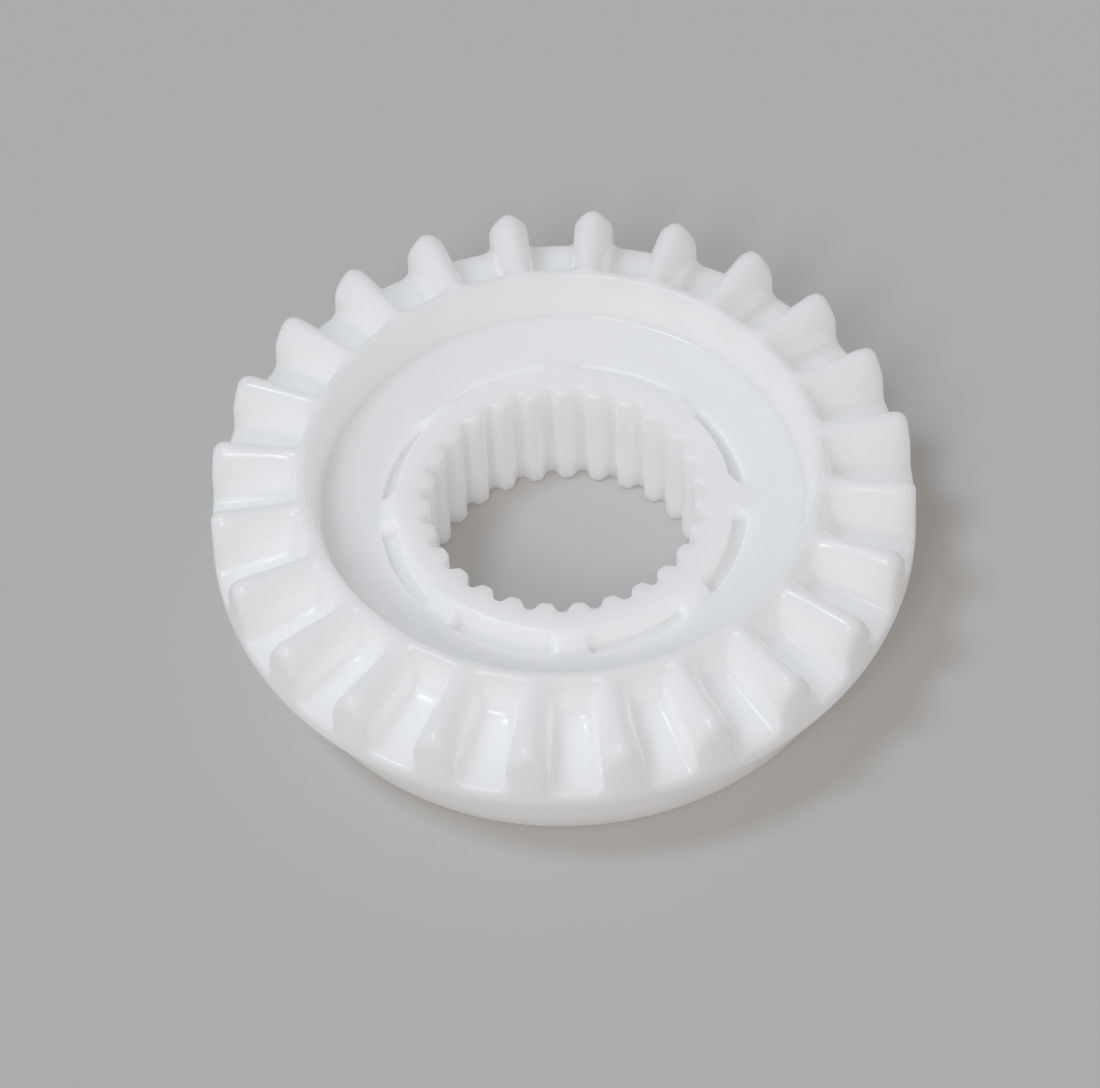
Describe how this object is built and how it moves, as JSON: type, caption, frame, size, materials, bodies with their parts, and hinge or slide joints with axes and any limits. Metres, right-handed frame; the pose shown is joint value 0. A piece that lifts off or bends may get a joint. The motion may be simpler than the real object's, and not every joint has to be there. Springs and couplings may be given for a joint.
{
  "type": "bevel gear",
  "caption": "Moulded plastic crown-type bevel gear: straight radial teeth on a dished ring, a web with arc slots and a splined hub, to turn a drive through a right angle.",
  "frame": {"origin": "centre of the back face, on the gear's axis", "axes": "+Z along the gear's axis towards the teeth; +X through the middle of a tooth gap"},
  "size_m": [0.07, 0.07, 0.0185],
  "materials": {
    "white_plastic": "natural white acetal, semi-gloss as moulded"
  },
  "bodies": {
    "root": {"bevel_gear": "white_plastic"}
  },
  "joints": []
}
